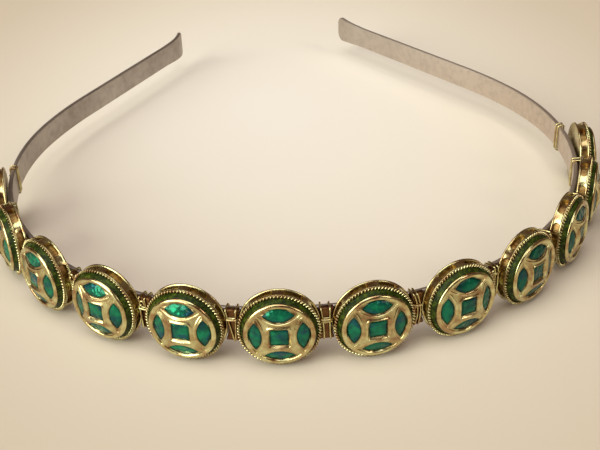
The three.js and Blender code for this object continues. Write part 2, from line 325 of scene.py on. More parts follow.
def shadeStone(tree, finish):
    spot = place(tree)
    # painted reflection: bluish patches
    paintedBlueReflection = spread(tree, noiseOf(tree, finish, "paintedBlueReflection"), *finish["paintedBlueReflectionStops"], 0.0, finish["paintedBlueReflectionShare"])
    green = blendColors(tree, paintedBlueReflection, clouded(tree, finish), finish["paintedBlueReflection"])
    # painted shade: darker towards the right end of the row
    far = spread(tree, partsOf(tree, spot)["X"], *finish["paintedFarRange"], 0.0, finish["paintedFarShare"])
    green = blendColors(tree, far, green, finish["paintedFarColor"])
    # painted shade, darker at the stone's rim
    rim = calculate(tree, "MULTIPLY", attributeOf(tree, "recess"), finish["rimShadeShare"])
    facets = addNode(tree, "ShaderNodeTexVoronoi", {"Vector": spot, "Scale": finish["facetScale"]})
    return {
        "Base Color": blendColors(tree, rim, green, finish["rimShadeColor"]),
        "Normal": bumpOf(tree, finish, "facet", facets["Distance"]),
        **finish["shader"],
    }


cementFinish = {
    "colors": ((0.006, 0.02, 0.012), (0.015, 0.05, 0.03)),
    "stops": (0.35, 0.65),
    "cloudNoise": (2.5, 4, 0.5),
    "roughness": 0.6,
}


def shadeCement(tree, finish):
    return {"Base Color": clouded(tree, finish), "Roughness": finish["roughness"]}


gilt = makeMaterial("giltMetal", giltFinish, shadeGilt)
steel = makeMaterial("brushedSteel", steelFinish, shadeSteel)
enamelGreen = makeMaterial("greenEnamel", enamelFinish, shadeEnamel)
stoneGreen = makeMaterial("foiledGreenStone", stoneFinish, shadeStone)
cement = makeMaterial("darkCement", cementFinish, shadeCement)
plateGilding = makeMaterial("brownGilding", brownGiltFinish, shadeBrownGilt, "plate")
# painted light: the wall's copy is lighter, to lift the shade between the posts
paintedLightWallGilding = makeMaterial("warmPaintedLightGilding", brownGiltFinish, shadeBrownGilt, "wall")
print("materials made")


# Shells: closed meshes made of rings of points.

def newShell():
    return {"points": [], "recess": [], "faces": []}


def addRing(shell, points, recess=0.0):
    first = len(shell["points"])
    shell["points"] += [tuple(p) for p in points]
    shell["recess"] += [recess] * len(points)
    return list(range(first, first + len(points)))


def neighbours(ring):
    return list(zip(ring, ring[1:] + ring[:1]))


def bridge(shell, ringA, ringB):
    for (nearA, farA), (nearB, farB) in zip(neighbours(ringA), neighbours(ringB)):
        shell["faces"].append((nearA, farA, farB, nearB))


def bridgeAll(shell, rings):
    for ringA, ringB in zip(rings, rings[1:]):
        bridge(shell, ringA, ringB)


def closeTo(shell, ring, tip, recess=0.0):  # closes a ring to one point
    centre = addRing(shell, [tip], recess)[0]
    for near, far in neighbours(ring):
        shell["faces"].append((near, far, centre))


def capRing(shell, ring, height, recess=0.0):
    x, y = [sum(shell["points"][i][k] for i in ring) / len(ring) for k in (0, 1)]
    closeTo(shell, ring, (x, y, height), recess)


def circle(radius, height, count):
    turn = 2 * math.pi / count
    return [(radius * math.cos(i * turn), radius * math.sin(i * turn), height) for i in range(count)]


def turnProfile(shell, first, profile, count):  # rings from the first one on, as on a lathe
    rings = [first]
    for radius, height, recess in profile:
        rings.append(addRing(shell, circle(radius, height, count), recess))
    bridgeAll(shell, rings)
    return rings[-1]


def meshFrom(shell, name, smoothAngle=None):
    mesh = bpy.data.meshes.new(name)
    mesh.from_pydata(shell["points"], [], shell["faces"])
    mesh.attributes.new("recess", "FLOAT", "POINT").data.foreach_set("value", shell["recess"])
    work = bmesh.new()
    work.from_mesh(mesh)
    bmesh.ops.recalc_face_normals(work, faces=work.faces)
    work.to_mesh(mesh)
    work.free()
    if smoothAngle is not None:
        mesh.shade_smooth()
        mesh.set_sharp_from_angle(angle=math.radians(smoothAngle))
    return mesh


def joined(name, meshes, materials):  # one mesh out of several; each keeps its own material
    work = bmesh.new()
    for mesh, material in meshes:
        before = len(work.faces)
        work.from_mesh(mesh)
        work.faces.ensure_lookup_table()
        for face in work.faces[before:]:
            face.material_index = materials.index(material)
    result = bpy.data.meshes.new(name)
    work.to_mesh(result)
    work.free()
    for material in materials:
        result.materials.append(material)
    return result


def finishPiece(name, mesh, nodes):
    piece = addObject(name, mesh)
    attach(piece, "root")
    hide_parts(*nodes)


# The strip.

strip = {
    "width": 6.0,
    "thickness": 1.0,
    "edgeRadius": 0.34,
    "edgeSteps": 5,
    "tipWidth": 7.7,
    "tipLength": 13.0,
    "tipWidening": 1.5,  # over one, the strip widens late
    "tipCorner": 2.2,
    "tipTurns": (0, 12, 24, 36, 48, 60, 72, 82, 88),  # round a corner of the tip
    "tipLeastHalf": 0.5,  # half the height of the tip's flat end
    "crownArcs": ((10, 78), (24, 61), (95, 65.3), (17, 104)),  # lengths and radii from the crown out
    "leftReach": 197.0,
    "rightReach": 201.0,
    "leftFlare": 31.0,
    "rightFlare": 11.0,
    "flareLength": 8.0,
    "crownY": -73.1826,
    "middleZ": 7.8,
    "step": 1.0,
    "smoothAngle": 50,
}


def stripReach(distance):
    return strip["leftReach"] if distance < 0 else strip["rightReach"]


def stripPoint(distance):  # the middle line's x, y and heading at a distance from the crown
    side = -1 if distance < 0 else 1
    flare = math.radians(strip["leftFlare"] if distance < 0 else strip["rightFlare"])
    bent = sum(length for length, radius in strip["crownArcs"])
    straight = stripReach(distance) - strip["flareLength"] - bent
    stretches = [(length, length / radius) for length, radius in strip["crownArcs"]]
    stretches += [(straight, 0.0), (strip["flareLength"], -flare)]
    x, y, heading, left = 0.0, 0.0, 0.0, abs(distance)
    for length, turn in stretches:
        travelled = min(left, length)
        halfBend = turn * travelled / length / 2
        chord = travelled if abs(halfBend) < 1e-9 else travelled * math.sin(halfBend) / halfBend
        x += chord * math.cos(heading + halfBend)
        y += chord * math.sin(heading + halfBend)
        heading += 2 * halfBend
        left -= travelled
    return side * x, y + strip["crownY"], side * heading


def stripHalfWidth(distance):
    toEnd = stripReach(distance) - abs(distance)
    widening = min(max(1 - toEnd / strip["tipLength"], 0), 1) ** strip["tipWidening"]
    corner = strip["tipCorner"]
    into = min(max(corner - toEnd, 0), corner)
    cut = corner - math.sqrt(corner ** 2 - into ** 2)
    half = strip["width"] / 2 + (strip["tipWidth"] - strip["width"]) / 2 * widening - cut
    return max(half, strip["tipLeastHalf"])


def placeAt(distance):  # X along the strip, Y up, Z outwards; millimetres to metres
    x, y, heading = stripPoint(distance)
    onwards = Vector((math.cos(heading), math.sin(heading), 0))
    outwards = Vector((math.sin(heading), -math.cos(heading), 0))
    turn = Matrix((onwards, (0, 0, 1), outwards)).transposed().to_4x4()
    spot = Vector((x, y, strip["middleZ"])) * mm
    return Matrix.Translation(spot) @ turn @ Matrix.Scale(mm, 4)


def stripStations():  # distances of the strip's sections from the crown, the left ones negative
    corner = strip["tipCorner"]
    stations = []
    for reach, side, start in ((strip["leftReach"], -1, 0.0), (strip["rightReach"], 1, 0.5)):
        run = reach - corner
        count = round(run / strip["step"])
        stations += [side * (i + start) * run / count for i in range(count)]
        stations += [side * (run + corner * math.sin(math.radians(a))) for a in strip["tipTurns"]]
    return sorted(set(stations))


def stripTree():  # a rounded section along the path, its height times the path's widening
    tree, given = newTree("steelStripShape", {
        "Geometry": "Geometry", "Width": "Float", "Thickness": "Float", "Edge Radius": "Float"})
    path = addNode(tree, "GeometryNodeMeshToCurve", {"Mesh": given["Geometry"]})["Curve"]
    upright = addNode(tree, "GeometryNodeSetCurveNormal", {"Curve": path}, mode="Z_UP")["Curve"]
    section = addNode(tree, "GeometryNodeCurvePrimitiveQuadrilateral", {
        "Width": given["Thickness"], "Height": given["Width"]})["Curve"]
    rounded = addNode(tree, "GeometryNodeFilletCurve", {
        "Curve": section, "Radius": given["Edge Radius"], "Count": strip["edgeSteps"],
    }, mode="POLY")["Curve"]
    swept = addNode(tree, "GeometryNodeCurveToMesh", {
        "Curve": upright, "Profile Curve": rounded, "Fill Caps": True})["Mesh"]
    spot = partsOf(tree, addNode(tree, "GeometryNodeInputPosition")["Position"])
    widening = addNode(tree, "GeometryNodeInputNamedAttribute", {"Name": "widening"}, data_type="FLOAT")
    height = calculate(tree, "MULTIPLY", spot["Z"], widening["Attribute"])
    shaped = addNode(tree, "GeometryNodeSetPosition", {
        "Geometry": swept, "Position": vectorFrom(tree, X=spot["X"], Y=spot["Y"], Z=height)})
    endTree(tree, shaped["Geometry"], steel)
    return tree


def makeStrip():
    stations = stripStations()
    points = [(*stripPoint(station)[:2], 0) for station in stations]
    path = bpy.data.meshes.new("stripPath")
    path.from_pydata(points, [(i, i + 1) for i in range(len(points) - 1)], [])
    widenings = [stripHalfWidth(station) / (strip["width"] / 2) for station in stations]
    for name, values in (("widening", widenings), ("station", stations)):
        path.attributes.new(name, "FLOAT", "POINT").data.foreach_set("value", values)
    mesh = grow("stripShape", path, stripTree(), {
        "Width": strip["width"], "Thickness": strip["thickness"], "Edge Radius": strip["edgeRadius"]})
    mesh.transform(Matrix.Translation((0, 0, strip["middleZ"] * mm)) @ Matrix.Scale(mm, 4))
    mesh.shade_smooth()
    mesh.set_sharp_from_angle(angle=math.radians(strip["smoothAngle"]))
    finishPiece("steelStrip", mesh, ["band"])


makeStrip()
print("strip made")


# One medallion, its axis along +Z and its foot on the strip's outer face. Heights are from the
# strip's middle plane. A profile's rows are radius, height and recess, which is how dark the metal
# is painted there, painted shade with some tarnish in hollows and undersides: from 0, bright, to 1.

setting = {
    "segments": 96,
    "sheetRadius": 5.95,  # edge of the pierced dome, inside the border
    # radius, height
    "dome": ((0, 5.88), (1.9, 5.88), (2.3, 5.76), (5.15, 4.74), (5.55, 4.62), (5.95, 4.68)),
    "edgeShape": (  # distance from a window, lift
        (0, -0.1), (0.05, -0.01), (0.11, 0.04), (0.18, 0.03), (0.26, -0.04), (0.36, -0.07),
        (0.48, -0.07),
    ),
    "wallShape": ((0.14, 0.1), (0.55, 0.5), (0.86, 0.9), (1.0, 1.0)),  # share inwards, share down
    "edgeRecess": 0.15,
    "wallRecess": (0.1, 0.5),  # painted shade and tarnish at a window's edge, and added on the way down
    # Painted shade, with more roughness, grows on the metal away from the windows.
    "dullFrom": 0.18,  # from a window
    "dullRun": 0.16,
    "dullAndShadedRecess": 0.22,
    "cavityTop": 3.95,
    "trayTop": 2.95,
    "lensReach": 5.78,
    "lensNear": 2.95,
    "lensTipAngle": 41.25,
    "lensSteps": 22,
    "lensStoneRadius": 4.4,
    "lensStoneLength": 2.95,
    "lensStoneWidth": 1.25,
    "lensSeat": (4.34, 5.26),  # at the outer and the inner side of a lens
    "squareHalf": 2.02,
    "squareCorner": 0.45,
    "squareStoneHalf": 1.72,
    "squareStoneCorner": 0.3,
    "squareSeat": 5.4,
    "border": (
        (6.08, 4.72, 0), (6.2, 4.72, 0), (6.33, 4.68, 0), (6.46, 4.61, 0), (6.57, 4.51, 0),
        (6.64, 4.4, 0), (6.67, 4.28, 0.2), (6.62, 4.2, 0.7), (6.5, 4.16, 1), (6.32, 4.15, 1),
        (6.3, 3.1, 1), (6.38, 2.98, 1), (7.08, 2.97, 1), (7.13, 3.02, 1), (7.15, 3.08, 1),
        (7.28, 3.12, 1), (7.45, 3.12, 1),
        (7.58, 3.04, 1), (7.66, 2.92, 0.8), (7.7, 2.8, 0.2), (7.68, 2.66, 0), (7.6, 2.57, 0.1),
        (7.5, 2.55, 0.2), (5.0, 2.55, 0.3), (2.0, 2.55, 0.3),
    ),
    "cavity": ((5.9, 3.0, 1), (5.8, 2.95, 1), (3.0, 2.95, 1)),
    "back": (
        (0.8, 0.75, 0.3), (3.0, 0.75, 0.3), (7.4, 0.75, 0.3), (7.62, 0.79, 0), (7.73, 0.88, 0),
        (7.76, 1.0, 0), (7.72, 1.12, 0), (7.6, 1.22, 0.1), (7.4, 1.25, 0.2), (3.0, 1.25, 0.3),
    ),
    "domeSmoothAngle": 62,
    "backSmoothAngle": 50,
}

# How the points in the dome's metal are laid out.
sheetGrid = {
    "spacing": 0.34,
    "rowShare": 0.866,  # of the spacing, for even triangles
    "rimRoom": 0.15,  # kept free inside the border
    "edgeRimRoom": 0.08,
    "nearShare": 0.95,  # how much of its distance a point beside a window has to keep from it
    "otherShare": 1.02,  # and from the other windows
}


def bow(start, end, rise, steps):  # points from start up to but without end, on an arc
    start, end = Vector(start), Vector(end)
    span = end - start
    half = span.length / 2
    forward = span.normalized()
    side = Vector((-forward.y, forward.x))
    radius = (half ** 2 + rise ** 2) / (2 * abs(rise))
    halfAngle = math.asin(min(half / radius, 1.0))
    middle = (start + end) / 2
    points = []
    for i in range(steps):
        angle = halfAngle * (2 * i / steps - 1)
        lift = math.copysign(radius * math.cos(angle) - radius + abs(rise), rise)
        points.append(middle + forward * radius * math.sin(angle) + side * lift)
    return points


def quarterTurn(quarter):
    return Matrix.Rotation(quarter * math.pi / 2, 2)


def lensOutline(tipX, tipY, farRise, nearRise, steps, quarter):
    left, right = (-tipX, tipY), (tipX, tipY)
    points = bow(left, right, farRise, steps) + bow(right, left, nearRise, steps)
    return [quarterTurn(quarter) @ p for p in points]


def lensWindow(quarter):
    angle = math.radians(setting["lensTipAngle"])
    reach = setting["lensReach"]
    tipX, tipY = reach * math.sin(angle), reach * math.cos(angle)
    nearRise = tipY - setting["lensNear"]
    return lensOutline(tipX, tipY, reach - tipY, nearRise, setting["lensSteps"], quarter)


def lensStone(quarter, steps, lip=0.0):
    width = setting["lensStoneWidth"] + lip
    length = setting["lensStoneLength"] + lip
    return lensOutline(length, setting["lensStoneRadius"], width, width, steps, quarter)


def roundedSquare(half, corner, cornerSteps=6, sideSteps=6):
    near = half - corner
    points = []
    for quarter in range(4):
        turn = quarterTurn(quarter)
        for i in range(cornerSteps + 1):
            angle = math.pi / 2 * i / cornerSteps
            spot = Vector((near + corner * math.cos(angle), near + corner * math.sin(angle)))
            points.append(turn @ spot)
        for i in range(1, sideSteps):
            points.append(turn @ Vector((near * (1 - 2 * i / sideSteps), half)))
    return points


windows = [lensWindow(quarter) for quarter in range(4)]
windows.append(roundedSquare(setting["squareHalf"], setting["squareCorner"]))
seats = [lensStone(quarter, setting["lensSteps"]) for quarter in range(4)]
seats.append(roundedSquare(setting["squareStoneHalf"], setting["squareStoneCorner"]))


def seatAt(window, x, y):  # height of a window's seat; the lenses lean with the dome
    if window == 4:
        return setting["squareSeat"]
    outwards = (quarterTurn(-window) @ Vector((x, y))).y
    width = setting["lensStoneWidth"]
    share = (outwards - (setting["lensStoneRadius"] - width)) / (2 * width)
    outer, inner = setting["lensSeat"]
    return inner + share * (outer - inner)


def distanceTo(outline, x, y):
    best = math.inf
    for i, start in enumerate(outline):
        end = outline[i - 1]
        dx, dy = end.x - start.x, end.y - start.y
        share = ((x - start.x) * dx + (y - start.y) * dy) / (dx * dx + dy * dy)
        share = min(max(share, 0.0), 1.0)
        best = min(best, (start.x + share * dx - x) ** 2 + (start.y + share * dy - y) ** 2)
    return math.sqrt(best)


def distanceToAny(outlines, x, y):
    return min(distanceTo(outline, x, y) for outline in outlines)


def isInside(outline, x, y):
    inside = False
    for i, start in enumerate(outline):
        end = outline[i - 1]
        if (start.y > y) != (end.y > y):
            if x < (end.x - start.x) * (y - start.y) / (end.y - start.y) + start.x:
                inside = not inside
    return inside


def readTable(table, value):  # straight between the rows of a table, level past its last row
    for (near, low), (far, high) in zip(table, table[1:]):
        if near <= value < far:
            return low + (high - low) * (value - near) / (far - near)
    return table[-1][1]


def domeAt(x, y, nearest):
    return readTable(setting["dome"], math.hypot(x, y)) + readTable(setting["edgeShape"], nearest)


def edgePoints():  # rows of points that follow each window
    points = []
    farthest = setting["sheetRadius"] - sheetGrid["edgeRimRoom"]
    for k, outline in enumerate(windows):
        others = windows[:k] + windows[k + 1:]
        for offset, lift in setting["edgeShape"][1:-1]:
            for i, spot in enumerate(outline):
                ahead = outline[(i + 1) % len(outline)] - outline[i - 1]
                away = Vector((ahead.y, -ahead.x)).normalized()
                x, y = spot + away * offset
                if isInside(outline, x, y):
                    x, y = spot - away * offset
                near = distanceTo(outline, x, y) < offset * sheetGrid["nearShare"]
                if near or math.hypot(x, y) > farthest:
                    continue
                if distanceToAny(others, x, y) > offset * sheetGrid["otherShare"]:
                    points.append((x, y))
    return points


def gridPoints():  # an even grid in what is left of the metal
    points = []
    spacing = sheetGrid["spacing"]
    farthest = setting["sheetRadius"] - sheetGrid["rimRoom"]
    edgeWidth = setting["edgeShape"][-1][0]
    count = int(setting["sheetRadius"] / spacing) + 2
    for line in range(-count, count + 1):
        for column in range(-count, count + 1):
            x = (column + 0.5 * (line % 2)) * spacing
            y = line * spacing * sheetGrid["rowShare"]
            if math.hypot(x, y) > farthest or any(isInside(o, x, y) for o in windows):
                continue
            if distanceToAny(windows, x, y) > edgeWidth:
                points.append((x, y))
    return points


def fillBetween(shell, edge, holes, inner, recess):  # triangles between a circle and its holes
    rings = [edge] + holes
    indices = [i for ring in rings for i in ring]
    spots = [Vector(shell["points"][i][:2]) for i in indices]
    edges = []
    first = 0
    for ring in rings:
        edges += neighbours(list(range(first, first + len(ring))))
        first += len(ring)
    indices += addRing(shell, inner, recess)
    spots += [Vector(p[:2]) for p in inner]
    corners, _, faces, origins, _, _ = delaunay_2d_cdt(spots, edges, [], 0, 1e-6)
    outlines = [[Vector(shell["points"][i][:2]) for i in ring] for ring in holes]
    for face in faces:
        x = sum(corners[i].x for i in face) / 3
        y = sum(corners[i].y for i in face) / 3
        if all(origins[i] for i in face) and not any(isInside(o, x, y) for o in outlines):
            shell["faces"].append([indices[origins[i][0]] for i in face])


def addSheet(shell, edge):  # the pierced metal of the dome; gives the rings of its windows
    rings = []
    for outline in windows:
        rings.append(addRing(shell, [(p.x, p.y, domeAt(p.x, p.y, 0)) for p in outline],
                             setting["edgeRecess"]))
    points = edgePoints() + gridPoints()
    nearest = [distanceToAny(windows, x, y) for x, y in points]
    inner = [(x, y, domeAt(x, y, near)) for (x, y), near in zip(points, nearest)]
    fillBetween(shell, edge, rings, inner, 0.0)
    # painted shade, with more roughness, grows away from the windows
    for index, near in enumerate(nearest, len(shell["points"]) - len(inner)):
        share = (near - setting["dullFrom"]) / setting["dullRun"]
        shell["recess"][index] = min(max(share, 0.0), 1.0) * setting["dullAndShadedRecess"]
    return rings


def addWindowWall(shell, window, top):  # from a window's edge down to its stone; gives its foot
    outline, seat = windows[window], seats[window]
    recess, deeper = setting["wallRecess"]
    rings = [top]
    for inwards, down in setting["wallShape"]:
        points = []
        for index, above, below in zip(top, outline, seat):
            start = shell["points"][index][2]
            spot = above.lerp(below, inwards)
            drop = seatAt(window, below.x, below.y) - start
            points.append((spot.x, spot.y, start + drop * down))
        rings.append(addRing(shell, points, recess + deeper * down))
    rings.append(addRing(shell, [(p.x, p.y, setting["cavityTop"]) for p in seat], 1.0))
    bridgeAll(shell, rings)
    return rings[-1]


def domeShell():  # the pierced dome, its border, the enamel's channel, the rim and the tray, one solid
    shell = newShell()
    count = setting["segments"]
    edge = addRing(shell, circle(setting["sheetRadius"], setting["dome"][-1][1], count))
    tops = addSheet(shell, edge)
    feet = [addWindowWall(shell, window, top) for window, top in enumerate(tops)]
    under = addRing(shell, circle(setting["cavity"][0][0], setting["cavityTop"], count), 1.0)
    fillBetween(shell, under, feet, [], 1.0)
    capRing(shell, turnProfile(shell, under, setting["cavity"], count), setting["trayTop"], 1.0)
    _, underside, recess = setting["border"][-1]
    capRing(shell, turnProfile(shell, edge, setting["border"], count), underside, recess)
    return shell


def closedTurning(profile, count):  # a turned solid, flat in the middle at both ends
    shell = newShell()
    radius, bottom, recess = profile[0]
    first = addRing(shell, circle(radius, bottom, count), recess)
    capRing(shell, first, bottom, recess)
    _, top, recess = profile[-1]
    capRing(shell, turnProfile(shell, first, profile[1:], count), top, recess)
    return shell


gallery = {
    "wallRadius": 6.75,  # the dull inner wall seen between the posts
    "wallSides": 64,
    "wallRecess": 0.2,
    "wallSmoothAngle": 40,
    "posts": 8,
    "radius": 7.6,
    "inner": 4.6,
    "halfWidth": 1.02,
    "flare": 0.5,  # each post spreads by this at its head and foot
    "waist": 3,  # the higher, the longer the straight part of a post
    "bulge": 0.12,  # of a post's outer face
    "faceSteps": 6,
    "bottom": 1.2,
    "top": 2.6,
    "levels": 9,
    "faceRecess": 0.05,
    "innerRecess": 0.3,
    "endRecess": 0.6,
    "smoothAngle": 50,
}


def wallShell():
    radius, recess = gallery["wallRadius"], gallery["wallRecess"]
    rows = [(radius, height, recess) for height in (gallery["bottom"], gallery["top"])]
    return closedTurning(rows, gallery["wallSides"])


def postShell():
    shell = newShell()
    radius = gallery["radius"]
    rings = []
    for level in range(gallery["levels"]):
        share = level / (gallery["levels"] - 1)
        height = gallery["bottom"] + share * (gallery["top"] - gallery["bottom"])
        width = gallery["halfWidth"] + gallery["flare"] * abs(2 * share - 1) ** gallery["waist"]
        points = [(gallery["inner"], 0.0, height)]
        for i in range(gallery["faceSteps"] + 1):
            across = 2 * i / gallery["faceSteps"] - 1
            angle = across * width / radius
            out = radius - gallery["bulge"] * across ** 2
            points.append((out * math.cos(angle), out * math.sin(angle), height))
        rings.append(addRing(shell, points, gallery["faceRecess"]))
        shell["recess"][rings[-1][0]] = gallery["innerRecess"]
    bridgeAll(shell, rings)
    capRing(shell, rings[0], gallery["bottom"], gallery["endRecess"])
    capRing(shell, rings[-1], gallery["top"], gallery["endRecess"])
    return shell


rope = {
    "strands": 72,
    "radius": 7.42,
    "height": 3.14,
    "length": 0.44,  # half sizes of a strand
    "breadth": 0.17,
    "rise": 0.32,
    "lean": 62.0,  # from the ring's own direction
    "sides": 6,
    "stations": (-0.86, -0.45, 0.0, 0.45, 0.86),  # shares of the half length
    "smoothAngle": 80,
}


def strandShell():
    shell = newShell()
    turns = [2 * math.pi * i / rope["sides"] for i in range(rope["sides"])]
    rings = []
    for share in rope["stations"]:
        size = math.sqrt(1 - share ** 2)
        breadth, rise, along = rope["breadth"] * size, rope["rise"] * size, rope["length"] * share
        points = [(breadth * math.cos(turn), along, rise * math.sin(turn)) for turn in turns]
        rings.append(addRing(shell, points))
    bridgeAll(shell, rings)
    closeTo(shell, rings[0], (0, -rope["length"], 0))
    closeTo(shell, rings[-1], (0, rope["length"], 0))
    return shell


def ringTree():  # copies of a part round the medallion's axis
    tree, given = newTree("ringOfParts", {
        "Part": "Object", "Count": "Int", "Radius": "Float", "Height": "Float", "Lean": "Float"})
    spots = addNode(tree, "GeometryNodeMeshCircle", {
        "Vertices": given["Count"], "Radius": given["Radius"]})["Mesh"]
    raised = addNode(tree, "GeometryNodeSetPosition", {
        "Geometry": spots, "Offset": vectorFrom(tree, Z=given["Height"])})["Geometry"]
    index = addNode(tree, "GeometryNodeInputIndex")["Index"]
    angle = calculate(tree, "DIVIDE", calculate(tree, "MULTIPLY", index, 2 * math.pi), given["Count"])
    facing = vectorFrom(tree, Z=calculate(tree, "ADD", angle, given["Lean"]))
    part = addNode(tree, "GeometryNodeObjectInfo", {"Object": given["Part"]})["Geometry"]
    copies = addNode(tree, "GeometryNodeInstanceOnPoints", {
        "Points": raised, "Instance": part, "Rotation": facing})
    endTree(tree, copies["Instances"], gilt)
    return tree


def ringOf(name, part, tree, count, radius=0.0, height=0.0, lean=0.0):
    master = addObject(name + "Part", part)
    mesh = grow(name, bpy.data.meshes.new(name + "Start"), tree, {
        "Part": master, "Count": count, "Radius": radius, "Height": height, "Lean": lean})
    bpy.data.objects.remove(master)
    return mesh


def settingMesh():
    tree = ringTree()
    post = meshFrom(postShell(), "post", gallery["smoothAngle"])
    strand = meshFrom(strandShell(), "strand", rope["smoothAngle"])
    back = closedTurning(setting["back"], setting["segments"])
    parts = [
        (meshFrom(domeShell(), "dome", setting["domeSmoothAngle"]), gilt),
        (meshFrom(back, "back", setting["backSmoothAngle"]), gilt),
        (ringOf("posts", post, tree, gallery["posts"]), gilt),
        (ringOf("rope", strand, tree, rope["strands"], rope["radius"], rope["height"],
                math.radians(rope["lean"])), gilt),
        (meshFrom(wallShell(), "wall", gallery["wallSmoothAngle"]), paintedLightWallGilding),
    ]
    return joined("setting", parts, [gilt, paintedLightWallGilding])


enamel = {
    "segments": 144,
    "mottle": 0.035,
    "mottledBeyond": 6.5,
    "seed": 5,
    "profile": ((7.13, 3.06), (7.1, 3.2), (7.0, 3.42), (6.88, 3.66), (6.78, 3.9), (6.68, 4.08),
                (6.58, 4.15), (6.45, 4.15), (6.36, 4.12), (6.34, 3.7), (6.34, 3.06)),
    "smoothAngle": 70,
}


def enamelMesh():
    shell = newShell()
    chance = random.Random(enamel["seed"])
    rings = []
    for radius, height in enamel["profile"]:
        points = []
        for x, y, z in circle(radius, height, enamel["segments"]):
            wave = chance.uniform(-1, 1) * (radius > enamel["mottledBeyond"])
            swell = 1 + enamel["mottle"] * wave / radius
            points.append((x * swell, y * swell, z))
        rings.append(addRing(shell, points))
    bridgeAll(shell, rings + rings[:1])
    mesh = meshFrom(shell, "enamelRing", enamel["smoothAngle"])
    return joined("enamel", [(mesh, enamelGreen)], [enamelGreen])


stones = {
    "backingRadius": 5.65,
    "backingBottom": 3.2,
    "backingTop": 3.7,
    "backingSides": 48,
    "backingSmoothAngle": 40,
    "sink": 0.1,  # into the backing
    "lip": 0.06,  # under the edge of the window
    "lensSteps": 6,
    "squareSteps": 2,
    "girdle": -0.16,  # heights from the seat
    "table": 0.08,
    # from the girdle up: share of the outline, share of the rise, recess, which sets the painted shade
    # at the rim
    "crown": ((1.0, 0.0, 1.0), (0.86, 0.45, 0.5), (0.72, 0.8, 0.1), (0.5, 1.0, 0.0)),
}


def stoneShell(window, outline):
    shell = newShell()
    middle = sum(outline, Vector((0, 0))) / len(outline)

    def ringAt(share, lift, recess):
        spots = [middle.lerp(p, share) for p in outline]
        return addRing(shell, [(p.x, p.y, seatAt(window, p.x, p.y) + lift) for p in spots], recess)

    bottom = stones["backingTop"] - stones["sink"]
    foot = addRing(shell, [(*p, bottom) for p in outline])
    capRing(shell, foot, bottom)
    height = stones["table"] - stones["girdle"]
    rings = [foot]
    for share, rise, recess in stones["crown"]:
        rings.append(ringAt(share, stones["girdle"] + rise * height, recess))
    bridgeAll(shell, rings)
    capRing(shell, rings[-1], seatAt(window, middle.x, middle.y) + stones["table"])
    return shell


def stonesMesh():
    rows = [(stones["backingRadius"], stones[end], 0.0) for end in ("backingBottom", "backingTop")]
    backing = closedTurning(rows, stones["backingSides"])
    meshes = [(meshFrom(backing, "backing", stones["backingSmoothAngle"]), cement)]
    half = setting["squareStoneHalf"] + stones["lip"]
    steps = stones["squareSteps"]
    outlines = [lensStone(quarter, stones["lensSteps"], stones["lip"]) for quarter in range(4)]
    outlines.append(roundedSquare(half, setting["squareStoneCorner"], steps, steps))
    for window, outline in enumerate(outlines):
        meshes.append((meshFrom(stoneShell(window, outline), "stone"), stoneGreen))
    return joined("stones", meshes, [stoneGreen, cement])


medallions = {"count": 12, "pitch": 17.0}


def makeMedallions():
    masters = (
        (settingMesh(), "medallionSetting", "setting", "gilt_metal"),
        (enamelMesh(), "enamelRing", "enamel", "green_enamel"),
        (stonesMesh(), "cutStones", "stones", "green_stone"),
    )
    for i in range(medallions["count"]):
        spot = placeAt((i - (medallions["count"] - 1) / 2) * medallions["pitch"])
        for master, name, node, slot in masters:
            mesh = master.copy()
            mesh.transform(spot)
            finishPiece(f"{name}{i + 1:02d}", mesh, [f"{node}_{i + 1:02d}"])


makeMedallions()
print("medallions made")


# The wire wraps.

wire = {
    "radius": 0.19,
    "gap": 0.06,
    "corner": 0.4,
    "cornerSteps": 5,
    "sideSteps": 8,
    "halfHeight": 3.42,
    "taper": 0.065,  # the wire dips towards the back by this share of its height
    "endDistance": 10.0,  # of the end wraps from the last medallion's middle
    "sides": 10,
    "tieRoom": 0.12,  # between the wraps' turns and the ends of a tie
    "tieSpacing": 2.2,  # of two turns of a tie, in wire radii
    "tieCorner": 0.95,  # share of a tie's half height
    "curlRadius": 0.45,
    "curlLift": 0.1,
    "curlRise": 0.04,  # for each radian
    "curlTurns": range(-40, 280, 16),
}

# A wrap has two turns of wire: where each crosses the strip at its top and at its foot, from the
# wrap's middle, and how far it bows. A tie of one or more turns joins them at a height, and
# some have a curled end of wire, with its middle along the strip and up.
wraps = [{"turns": turns, "tie": tie, "ties": ties, "curl": curl} for turns, tie, ties, curl in (
    (((-0.6, -0.6, 0.0), (0.6, 0.7, 0.0)), 1.2, 2, None),
    (((-0.7, -0.5, 0.1), (0.6, 0.6, 0.1)), 1.5, 2, None),
    (((-0.5, -0.8, 0.0), (0.7, 0.4, 0.1)), 1.5, 1, (0.2, 3.0)),
    (((-1.0, -0.45, 0.0), (0.9, 0.4, 0.0)), 1.9, 2, (-0.2, 2.9)),
    (((0.3, 0.75, 0.1), (-0.9, -0.6, -0.1)), 1.2, 1, (-0.2, 2.4)),
    (((-1.15, 0.25, 0.0), (0.8, 0.45, 0.0)), 1.5, 1, None),
    (((-1.05, -0.6, 0.15), (0.65, 0.62, -0.1)), 0.9, 2, None),
    (((-0.9, -0.75, 0.75), (-0.2, 0.0, 0.6)), 1.1, 1, (-1.0, 0.9)),
    (((-0.1, -0.3, 0.15), (0.7, 0.5, 0.2)), 2.2, 1, (-0.6, 2.6)),
    (((-0.9, -0.4, 0.1), (0.5, 0.7, 0.1)), 1.5, 2, (0.2, 2.8)),
    (((-0.5, -0.8, 0.0), (0.8, 0.5, 0.0)), 1.5, 1, None),
    (((-0.6, -0.7, 0.0), (0.6, 0.6, 0.0)), 1.5, 2, None),
    (((-0.7, -0.6, 0.0), (0.6, 0.7, 0.0)), 1.2, 2, None),
)]

